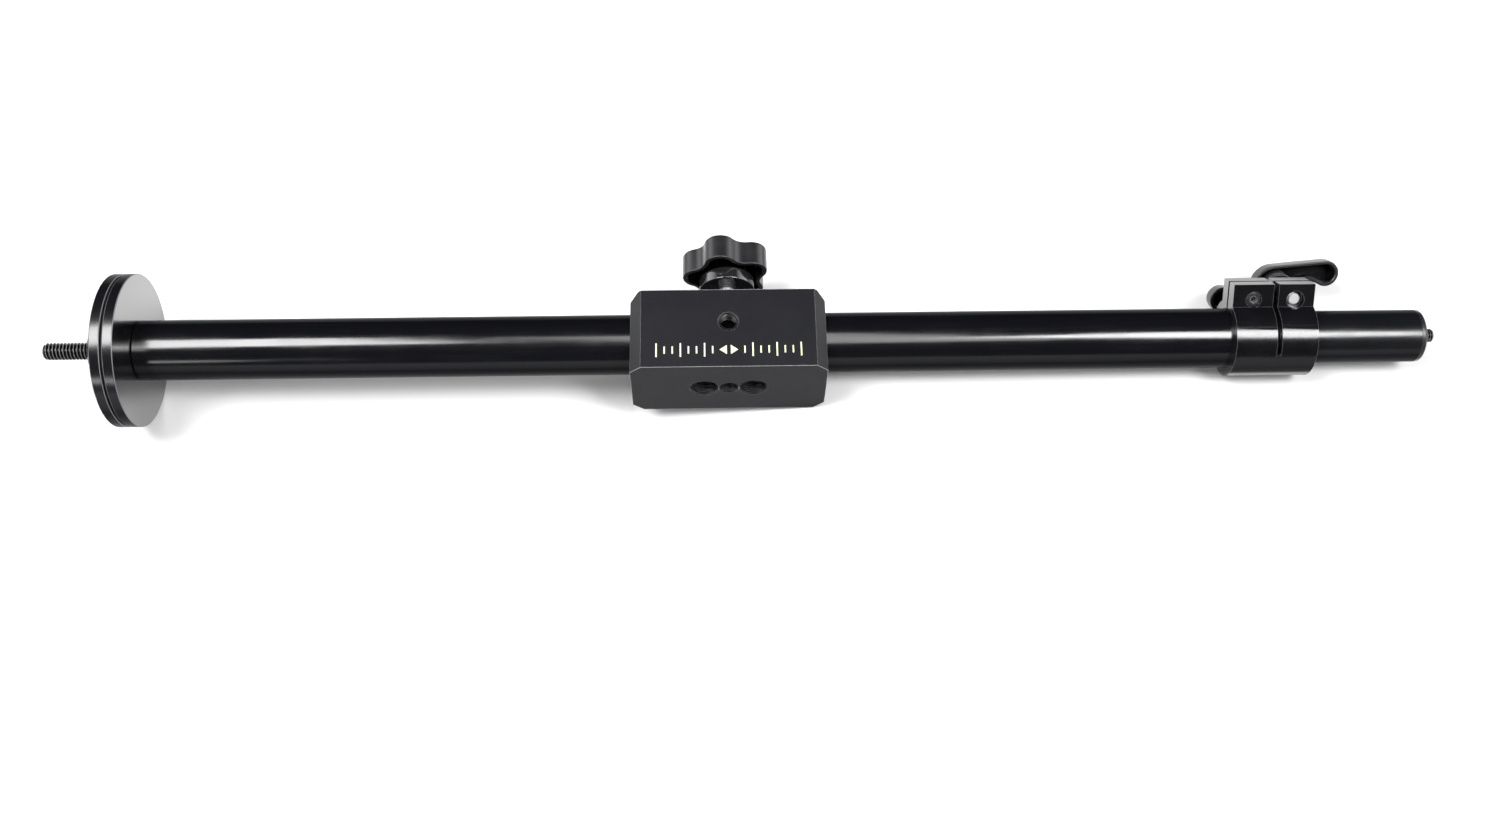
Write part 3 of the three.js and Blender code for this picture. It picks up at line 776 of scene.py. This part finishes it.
def build_plug(stud_bore):
    """The plug in the outer tube, with the two screws that hold the inner disc to it."""
    low, high = span("tube_plug")
    plug = ring("plug_body", low.x, high.x, high.y, stud_bore, 0.3, 0.2)
    screw_bore, drill_point = 1.6, 0.5
    for node in ("plate_screw_front", "plate_screw_back"):
        box_low, box_high = span(node)
        place = Matrix.Translation((0, (box_low.y + box_high.y) / 2, 0))
        bore = rod("bore", low.x - PAST, box_high.x + drill_point, screw_bore)
        boolean(plug, move(bore, place))
        screw = countersunk_screw(node + "_m3", box_low.x, box_high.x)
        put(move(screw, place), node, BRIGHT_STEEL)
    put(plug, "tube_plug", ALUMINIUM)


def countersunk_screw(name, left, right):
    """A flat-head screw along X with its head at the left and a hexagon socket in it."""
    shank, head, head_depth = 1.45, 2.85, 1.55
    tip, socket_radius, socket_depth = 0.5, 1.1, 1.1
    corners = [
        (left, 0, 0),
        (left, head, 0.1),
        (left + head_depth, shank, 0.1),
        (right - tip, shank, 0),
        (right, shank - tip, 0),
        (right, 0, 0),
    ]
    screw = lathe(name, rounded(corners), 48)
    socket = rod("socket", left - PAST, left + socket_depth, socket_radius, 0, HEXAGON)
    return boolean(screw, socket)


# ---- carriage


def prism(name, outline, low, high):
    """A flat outline raised along Z between two heights."""
    return loft(name, [[(x, y, z) for x, y in outline] for z in (low, high)])


def block_blank(low, high):
    """The block before drilling: both ends of its top and bottom faces are chamfered, and
    both ends of its knob side a little less."""
    length, depth = high.x, high.z
    cut, knob_cut = 4.0, 2.9
    side = [
        (-length, -depth + cut),
        (-length + cut, -depth),
        (length - cut, -depth),
        (length, -depth + cut),
        (length, depth - cut),
        (length - cut, depth),
        (-length + cut, depth),
        (-length, depth - cut),
    ]
    block = prism("block_body", side, -high.y, -low.y)
    # Raised along +Z with Z as -Y: a quarter turn about X puts it back.
    move(block, turn_matrix("X", math.pi / 2))
    top = [
        (-length, low.y),
        (length, low.y),
        (length, high.y - knob_cut),
        (length - knob_cut, high.y),
        (-length + knob_cut, high.y),
        (-length, high.y - knob_cut),
    ]
    return boolean(block, prism("top", top, -depth, depth), "INTERSECT")


def build_carriage():
    low, high = span("carriage_block")
    length = high.x
    block = block_blank(low, high)
    bore, seat, knob_bore, liner_bore = 11.35, 11.9, 3.4, 11.2
    boolean(block, rod("bore", -length - PAST, length + PAST, bore, 0, TUBE_SEGMENTS))
    seat_inner, seat_outer = 12, length - 0.75
    for left, right in ((seat_inner, seat_outer), (-seat_outer, -seat_inner)):
        boolean(block, rod("seat", left, right, seat, 0, TUBE_SEGMENTS))
    # Each tapped hole is drilled wide for its thread sleeve, and narrow in its last millimetre.
    mouth, blind, clearance, play = 0.55, 1.0, 0.12, 0.1
    holes = hole_list(low, high)
    for name, matrix, deep, minor, major, pitch in holes:
        wide = major + clearance
        above = 2
        profile = [
            (-deep, 0, 0),
            (-deep, minor, 0),
            (-deep + blind, minor, 0),
            (-deep + blind, wide, 0),
            (-mouth, wide, 0),
            (above, wide + mouth + above, 0),
            (above, 0, 0),
        ]
        boolean(block, move(lathe("cutter", rounded(profile), 72), matrix))
    drill = rod("knob_bore", 0, high.y + PAST, knob_bore)
    boolean(block, move(drill, X_TO_Y))
    edge_break(block, 0.25)
    put(block, "carriage_block", BLOCK)
    for name, matrix, deep, minor, major, pitch in holes:
        sleeve = threaded_hole(name, deep - blind - mouth - play, minor, major, pitch)
        move(sleeve, matrix @ Matrix.Translation((-mouth, 0, 0)))
        put(sleeve, "carriage_block", THREAD, stands_for=False)
    for node in ("liner_left", "liner_right"):
        low, high = span(node)
        liner = ring(
            node + "_sleeve", low.x, high.x, high.y, liner_bore, segments=TUBE_SEGMENTS
        )
        put(liner, node, ACETAL)


def hole_list(low, high):
    """Each tapped hole: name, place with +X out of the hole, depth, and the minor radius,
    major radius and pitch of its thread."""
    quarter = (2.6, 3.175, QUARTER_INCH_PITCH)
    three_eighths = (3.97, 4.76, 1.5875)
    top_depth, front_depth, spacing = 4.7, 6.5, 9.0
    up = Matrix.Translation((0, 0, high.z)) @ X_TO_Z
    out = turn_matrix("Z", -math.pi / 2)
    found = [("top_thread", up, top_depth, *quarter)]
    for name, x, size in (
        ("front_thread_left", -spacing, three_eighths),
        ("front_thread_middle", 0.0, quarter),
        ("front_thread_right", spacing, three_eighths),
    ):
        found.append((name, Matrix.Translation((x, low.y, 0)) @ out, front_depth, *size))
    return found


# ---- lock knob


def lower_rim(radius, level, steps):
    """(inset, height) stations of a rounded edge, from an underside out to the side."""
    angles = [math.pi / 2 * k / steps for k in range(steps + 1)]
    return [(radius * (1 - math.sin(a)), level + radius * (1 - math.cos(a))) for a in angles]


def upper_rim(radius, level, steps):
    """(inset, height) stations of a rounded edge, from the side in to an upper face."""
    angles = [math.pi / 2 * k / steps for k in range(steps + 1)]
    return [(radius * (1 - math.cos(a)), level - radius * (1 - math.sin(a))) for a in angles]


def star(inset, tip=16.7, valley=12.8, lobe=6.0, lobes=5, steps=14):
    """The knob's outline: round lobes joined by round valleys, drawn in by inset."""
    step = TAU / lobes
    reach = tip - lobe
    lobe_r, edge = lobe - inset, valley - inset
    cosine = math.cos(step / 2)
    hollow = (reach**2 + edge**2 - 2 * reach * edge * cosine - lobe_r**2) / (
        2 * (lobe_r + reach * cosine - edge)
    )
    far = edge + hollow
    meet = math.atan2(far * math.sin(step / 2), far * cosine - reach)
    points = []
    for i in range(lobes):
        aim = i * step
        cx, cy = reach * math.cos(aim), reach * math.sin(aim)
        for k in range(steps + 1):
            a = aim - meet + 2 * meet * k / steps
            points.append((cx + lobe_r * math.cos(a), cy + lobe_r * math.sin(a)))
        gap = aim + step / 2
        gx, gy = far * math.cos(gap), far * math.sin(gap)
        start = aim + meet + math.pi
        sweep = 2 * (gap - aim - meet)
        for k in range(1, steps):
            a = start + sweep * k / steps
            points.append((gx + hollow * math.cos(a), gy + hollow * math.sin(a)))
    return points


def knob_shell(low, top):
    """The moulded star, hollow underneath, with a hub inside and a dished seat on top."""
    bottom, roof, wall = 27.8, 2.4, 1.6
    round_top, round_rim = 1.1, 0.45
    # The skin runs from the roof inside, down, round the rim and up to the top face.
    stations = [
        (wall + 0.25, top - roof),
        (wall, top - roof - 0.6),
        (wall, bottom + 0.3),
        (wall - 0.3, bottom),
    ]
    stations += lower_rim(round_rim, bottom, 4) + upper_rim(round_top, top, 5)
    loops = [[(x, y, z) for x, y in star(inset)] for inset, z in stations]
    shell = loft("knob_shell", loops, sharp=40)
    seat, seat_depth, flare, above = 7.4, 0.7, 1.0, 2
    dish_corners = [
        (top - seat_depth, 0, 0),
        (top - seat_depth, seat, 0.3),
        (top + above, seat + flare, 0),
        (top + above, 0, 0),
    ]
    boolean(shell, turn_to_z(lathe("dish", rounded(dish_corners), 96)))
    hub, hub_bore, into_roof = 7.2, 3.3, 1.6
    hub_corners = [
        (low, hub_bore, 0.1),
        (low, hub, 0.1),
        (top - into_roof, hub, 0),
        (top - into_roof, hub_bore, 0),
    ]
    return boolean(shell, turn_to_z(lathe("hub", rounded(hub_corners), 96)), "UNION")


def knob_cap(top):
    """The plain cap sunk in the knob's seat, its face a very flat cone."""
    radius = 6.9
    corners = [
        (top - 0.75, 0, 0),
        (top - 0.75, radius, 0),
        (top - 0.25, radius, 0.3),
        (top - 0.1, 0, 0),
    ]
    return turn_to_z(lathe("knob_cap_disc", rounded(corners), 96))


def build_knob():
    low, high = span("lock_knob")
    place = knob_place()
    put(move(knob_shell(low.y, high.y), place), "lock_knob", NYLON)
    put(move(knob_cap(high.y), place), "lock_knob", ACETAL, stands_for=False)

    flange_radius, stud_bore, bushing_bore, chamfer = 10.4, 3.3, 3.4, 0.6
    low, high = span("knob_washer")
    flange = ring("knob_flange", low.y, high.y, flange_radius, stud_bore, 0.4, 0.15)
    put(move(flange, X_TO_Y), "knob_washer", POLISHED_STEEL)
    low, high = span("lock_stud")
    stud = threaded_rod("knob_stud", low.y, high.y, high.x, QUARTER_INCH_PITCH, chamfer)
    put(move(stud, X_TO_Y), "lock_stud", BRIGHT_STEEL)
    low, high = span("lock_bushing")
    bushing = ring("bushing", low.y, high.y, high.x, bushing_bore, 0.5, 0.4, 96)
    put(move(bushing, X_TO_Y), "lock_bushing", CLAMP)
    low, high = span("brake_pad")
    pad = rod("pad_disc", low.y, high.y, high.x, 0.3)
    put(move(pad, X_TO_Y), "brake_pad", ACETAL)


def knob_place():
    """Takes the knob's own frame, raised along Z, to its place along +Y, a lobe 13 degrees
    from +Z on the -X side."""
    return turn_matrix("X", -math.pi / 2) @ turn_matrix("Z", math.radians(-13 - 90))


# ---- clamp

CLAMP_TURN = turn_matrix("X", math.radians(43.8))
EAR_HALF = 5.7
SLIT_HALF = 0.7
FIXING_X, FIXING_RADIAL = 194.0, 15.9
LEVER_X, LEVER_RADIAL = 209.5, 15.7
# How deep the fixing screw's and the lever stud's counterbores go into the front ear.
FIXING_SEAT, LEVER_SEAT = 3.0, 2.6


def build_clamp():
    build_collar()
    build_fixing_screw()
    low, high = span("reducer_sleeve")
    outer, bore = 11.15, 9.9
    sleeve = ring("split_sleeve", low.x, high.x, outer, bore, 0.15, 0.15, TUBE_SEGMENTS)
    boolean(sleeve, block_tool(low.x - PAST, high.x + PAST, 0, 20, -SLIT_HALF, SLIT_HALF))
    put(move(sleeve, CLAMP_TURN), "reducer_sleeve", ACETAL)
    build_lever()


def collar_outline(radius, ear_top):
    """The collar seen along X: a circle that runs into two straight-sided ears on +Y."""
    start = math.asin(EAR_HALF / radius)
    steps = 120
    outline = []
    for k in range(steps + 1):
        a = start + (TAU - 2 * start) * k / steps
        outline.append((radius * math.cos(a), radius * math.sin(a)))
    return outline + [(ear_top, -EAR_HALF), (ear_top, EAR_HALF)]


def build_collar():
    """The split collar: bored, slit between its ears, and slotted part of the way round so
    that only its right half clamps."""
    low, high = span("clamp_collar")
    left, right = low.x, high.x
    radius, ear_top, bore = 14.26, 21.6, 11.25
    outline = collar_outline(radius, ear_top)
    collar = loft("collar_body", [[(x, y, z) for y, z in outline] for x in (left, right)])
    past_left, past_right, past_top = left - PAST, right + PAST, ear_top + PAST
    boolean(collar, rod("bore", past_left, past_right, bore, 0, TUBE_SEGMENTS))
    boolean(collar, block_tool(past_left, past_right, 0, past_top, -SLIT_HALF, SLIT_HALF))
    slot, half_slot, slot_sweep = 202.2, 0.9, math.radians(104)
    reach, across = radius * math.cos(slot_sweep), 20
    boolean(
        collar,
        block_tool(slot - half_slot, slot + half_slot, reach, past_top, -across, across),
    )
    for x, y, hole, mouth, deep in (
        (FIXING_X, FIXING_RADIAL, 1.7, 2.9, FIXING_SEAT),
        (LEVER_X, LEVER_RADIAL, 2.55, 3.3, LEVER_SEAT),
    ):
        boolean(collar, upright("hole", x, y, -across, across, hole))
        boolean(collar, upright("mouth", x, y, EAR_HALF - deep, across, mouth))
    spot_face = 3.9
    boolean(collar, upright("spot", LEVER_X, LEVER_RADIAL, -across, -EAR_HALF, spot_face))
    edge_break(collar, 0.32)
    put(move(collar, CLAMP_TURN), "clamp_collar", CLAMP)


def build_fixing_screw():
    """A cap screw sunk in the front ear, with a hexagon socket."""
    seat = EAR_HALF - FIXING_SEAT + 0.05
    tip = 0.5 - EAR_HALF
    shank, head, head_length = 1.5, 2.7, 2.65
    socket_radius, socket_floor = 1.4, seat + 1.05
    corners = [
        (tip, 0, 0),
        (tip, shank, 0.2),
        (seat, shank, 0),
        (seat, head, 0.1),
        (seat + head_length, head, 0.35),
        (seat + head_length, 0, 0),
    ]
    screw = turn_to_z(lathe("socket_screw", rounded(corners), 72))
    socket = rod("socket", socket_floor, seat + PAST, socket_radius, 0, HEXAGON)
    boolean(screw, turn_to_z(socket))
    move(screw, CLAMP_TURN @ Matrix.Translation((FIXING_X, FIXING_RADIAL, 0)))
    put(screw, "fixing_screw", SOCKET_STEEL)


def block_tool(x0, x1, y0, y1, z0, z1):
    return prism("tool", [(x0, y0), (x1, y0), (x1, y1), (x0, y1)], z0, z1)


def upright(name, x, y, low, high, radius):
    """A rod along Z at (x, y)."""
    piece = turn_to_z(rod(name, low, high, radius, 0, 72))
    return move(piece, Matrix.Translation((x, y, 0)))


def lever_outline(inset, steps=16):
    """Two wings half a turn apart: tip circles joined to the hub by a straight edge on one
    side and a hollow fillet on the other."""
    hub, tip, fillet = 8.1 - inset, 4.9 - inset, 6.0 + inset
    tip_x, tip_y = 19.4, 4.9
    reach, aim = math.hypot(tip_x, tip_y), math.atan2(tip_y, tip_x)
    tangent = aim + math.acos((hub - tip) / reach)
    along = ((hub + fillet) ** 2 - (tip + fillet) ** 2 + reach**2) / (2 * reach)
    down = aim - math.acos(along / (hub + fillet))
    fx, fy = (hub + fillet) * math.cos(down), (hub + fillet) * math.sin(down)
    to_tip = math.atan2(tip_y - fy, tip_x - fx)
    straight = 10
    wing = []

    def arc(cx, cy, radius, start, end, last=True):
        for k in range(steps + (1 if last else 0)):
            a = start + (end - start) * k / steps
            wing.append((cx + radius * math.cos(a), cy + radius * math.sin(a)))

    arc(fx, fy, fillet, down + math.pi, to_tip, last=False)
    arc(tip_x, tip_y, tip, to_tip - math.pi, tangent)
    last = wing[-1]
    first = (hub * math.cos(tangent), hub * math.sin(tangent))
    for k in range(1, straight):
        share = k / straight
        wing.append(tuple(p + (q - p) * share for p, q in zip(last, first)))
    arc(0, 0, hub, tangent, down + math.pi, last=False)
    return wing + [(-x, -y) for x, y in wing]


def build_lever():
    """The moulded wings, hollow towards the collar, with a stepped neck, stud and washer. All
    heights run along the clamp's own Z, from behind the rear ear to the front one."""
    front, back, wall = -16.0, -22.0, 1.3
    floor = back + wall
    round_back, round_rim = 1.3, 0.35
    stations = lower_rim(round_back, back, 5) + upper_rim(round_rim, front, 3)
    stations += [
        (wall - 0.3, front),
        (wall, front - 0.3),
        (wall + 0.15, floor + 0.5),
        (wall + 0.6, floor),
    ]
    loops = [[(x, y, z) for x, y in lever_outline(inset)] for inset, z in stations]
    lever = loft("lever_wings", loops, sharp=40)
    root, root_radius = floor - 0.4, 6.6
    neck, neck_top = 6.0, -10.9
    nose, nose_top = 3.5, -7.3
    bore = 2.4
    neck_corners = [
        (root, bore, 0),
        (root, root_radius, 0),
        (front, neck, 0),
        (neck_top, neck, 0.5),
        (neck_top, nose, 0.2),
        (nose_top, nose, 0.3),
        (nose_top, bore, 0.1),
    ]
    boolean(lever, turn_to_z(lathe("neck", rounded(neck_corners), 96)), "UNION")
    place = CLAMP_TURN @ Matrix.Translation((LEVER_X, LEVER_RADIAL, 0))
    put(move(lever, place), "wing_lever", NYLON)
    stud_low, stud_high, stud_radius, pitch, chamfer = -20.0, 4.2, 2.3, 0.8, 0.45
    stud = threaded_rod("lever_bolt", stud_low, stud_high, stud_radius, pitch, chamfer)
    put(move(turn_to_z(stud), place), "lever_stud", BRIGHT_STEEL)
    washer_low, washer_high, washer_radius, washer_bore = -7, -6, 3.6, 2.6
    washer = ring(
        "lever_thrust_washer", washer_low, washer_high, washer_radius, washer_bore, 0.15, 0.1, 72
    )
    put(move(turn_to_z(washer), place), "lever_washer", BRIGHT_STEEL)


# ---- printed mark


def print_outlines():
    """Flat outlines of a generic slide mark: a double arrow between two rows of ticks."""
    middle_y, line, pitch, ticks = -11.6, 0.55, 2.9, 9
    short, tall = 1.5, 2.8
    first, last = 4, 27
    outlines = []
    for k in range(-ticks, ticks + 1):
        x = k * pitch
        if not first <= abs(x) <= last:
            continue
        reach = short if k % 3 else tall
        left, right = x - line / 2, x + line / 2
        low, high = middle_y - reach, middle_y + reach
        outlines.append([(left, low), (right, low), (right, high), (left, high)])
    arrow_tip, arrow_base, arrow_half = 3.4, 0.7, 1.9
    for sign in (-1, 1):
        tip, base = sign * arrow_tip, sign * arrow_base
        low, high = middle_y - arrow_half, middle_y + arrow_half
        outlines.append([(tip, middle_y), (base, low), (base, high)])
    return outlines


def build_print():
    """The mark as a thin layer of ink just above the accessory face."""
    gap, thick = 0.012, 0.02
    top = span("carriage_block")[1].z + gap
    verts, faces = [], []
    for outline in print_outlines():
        base = len(verts)
        count = len(outline)
        verts += [(x, y, top) for x, y in outline] + [(x, y, top + thick) for x, y in outline]
        faces.append(tuple(base + i for i in range(count - 1, -1, -1)))
        faces.append(tuple(base + count + i for i in range(count)))
        for i in range(count):
            j = (i + 1) % count
            faces.append((base + i, base + j, base + count + j, base + count + i))
    mark = new_piece("slide_mark", verts, faces)
    put(mark, "carriage_block", INK, stands_for=False)


# ---- stage, camera


def build_stage():
    """The rail lies on its discs and its clamp collar, so the floor climbs towards the collar.
    It is level up to the block, where the discs can slide, and level again past the collar."""
    disc = span("swivel_plate")[0].z
    block_low, block_high = span("carriage_block")
    collar = span("clamp_collar")[0]
    half, gap = 4000.0, 0.05
    stations = [
        (-half, disc),
        (block_low.x, disc),
        (block_high.x, block_low.z),
        (collar.x, collar.z),
        (half, collar.z),
    ]
    corners = [(x, y, z - gap) for x, z in stations for y in (-half, half)]
    strips = [(2 * k, 2 * k + 2, 2 * k + 3, 2 * k + 1) for k in range(len(stations) - 1)]
    floor = new_piece("floor", corners, strips, sharp=60)
    floor.location = CENTRE
    surface = Surface("studio_floor", (0.93, 0.93, 0.93), 0.6, specular=0.2)
    surface.tint(surface.ramp(surface.noise(3, detail=2), 0.3, 0.8, 0, 0.3), (0.9, 0.9, 0.9))
    # The camera sees the floor near the rail a little darker, so that its shadows show, and
    # mirrored in the black parts the whole floor stays a quiet grey.
    path = surface.node("ShaderNodeLightPath")
    near = surface.maths("MULTIPLY", path.outputs["Is Camera Ray"], surface.near_mask(0.45, 0.9))
    surface.tint(near, (0.66, 0.66, 0.66))
    surface.tint(path.outputs["Is Glossy Ray"], (0.35, 0.35, 0.35))
    floor.data.materials.append(surface.done())


def add_light(name, place, aim, power, size_x, size_y):
    """A rectangular lamp aimed at a point, its sizes along its own X and Y in metres."""
    data = bpy.data.lights.new(name, "AREA")
    data.energy = power
    data.shape = "RECTANGLE"
    data.size = size_x
    data.size_y = size_y
    lamp = bpy.data.objects.new(name, data)
    scene.collection.objects.link(lamp)
    lamp.location = CENTRE + Vector(place)
    lamp.rotation_euler = (Vector(aim) - Vector(place)).to_track_quat("-Z", "Y").to_euler()
    return lamp


def build_light():
    world = bpy.data.worlds.new("studio")
    scene.world = world
    world.use_nodes = True
    tree = world.node_tree
    back = tree.nodes["Background"]
    back.inputs["Color"].default_value = (1, 1, 1, 1)
    # In reflections the room is bright to the left and right, and dark in all other directions.
    direction = tree.nodes.new("ShaderNodeTexCoord")
    parts = tree.nodes.new("ShaderNodeSeparateXYZ")
    size = tree.nodes.new("ShaderNodeMath")
    size.operation = "ABSOLUTE"
    across = tree.nodes.new("ShaderNodeMapRange")
    mirrored = {"From Min": 0.55, "From Max": 0.85, "To Min": 0.06, "To Max": 3.4}
    for key, value in mirrored.items():
        across.inputs[key].default_value = value
    path = tree.nodes.new("ShaderNodeLightPath")
    lit = tree.nodes.new("ShaderNodeMapRange")
    lit.inputs["To Min"].default_value = 0.62
    lit.inputs["To Max"].default_value = 0.85
    level = tree.nodes.new("ShaderNodeMapRange")
    link(tree, direction.outputs["Generated"], parts.inputs[0])
    link(tree, parts.outputs["X"], size.inputs[0])
    link(tree, size.outputs[0], across.inputs["Value"])
    link(tree, path.outputs["Is Camera Ray"], lit.inputs["Value"])
    link(tree, lit.outputs["Result"], level.inputs["To Min"])
    link(tree, across.outputs["Result"], level.inputs["To Max"])
    link(tree, path.outputs["Is Glossy Ray"], level.inputs["Value"])
    link(tree, level.outputs["Result"], back.inputs["Strength"])
    add_light("key_left", (-0.66, -0.12, 1.25), (-0.1, 0, 0), 25, 0.62, 0.6)
    add_light("key_right", (0.66, -0.40, 1.25), (0.1, 0, 0), 20, 0.42, 0.56)
    middle = add_light("middle", (0.1, -0.28, 1.25), (0.0, 0, 0), 7, 0.4, 0.9)
    middle.visible_diffuse = False
    add_light("low_left", (-0.7, -1.1, 0.33), (-0.2, 0, 0), 1.1, 0.3, 0.14)


def build_camera():
    """The main viewpoint: above the near side, looking steeply down."""
    data = bpy.data.cameras.new("camera")
    data.lens = 36.74
    data.sensor_width = 36
    data.sensor_fit = "HORIZONTAL"
    data.clip_start = 0.01
    tilt, yaw, roll = (math.radians(a) for a in (63.49, 1.55, -0.74))
    forward = Vector((0, math.cos(tilt), -math.sin(tilt)))
    side = Vector((1, 0, 0))
    up = Vector((0, math.sin(tilt), math.cos(tilt)))
    aim = forward * math.cos(yaw) + side * math.sin(yaw)
    across = side * math.cos(yaw) - forward * math.sin(yaw)
    right = across * math.cos(roll) + up * math.sin(roll)
    top = up * math.cos(roll) - across * math.sin(roll)
    camera = bpy.data.objects.new("camera", data)
    rotation = Matrix((right, top, -aim)).transposed().to_4x4()
    eye = CENTRE + Vector((-0.00755, -0.2764, 0.4986))
    camera.matrix_world = Matrix.Translation(eye) @ rotation
    scene.collection.objects.link(camera)
    scene.camera = camera


build_tubes()
build_left_end()
build_carriage()
build_knob()
build_clamp()
build_print()
build_stage()
build_light()
build_camera()
scene.view_settings.view_transform = "Standard"
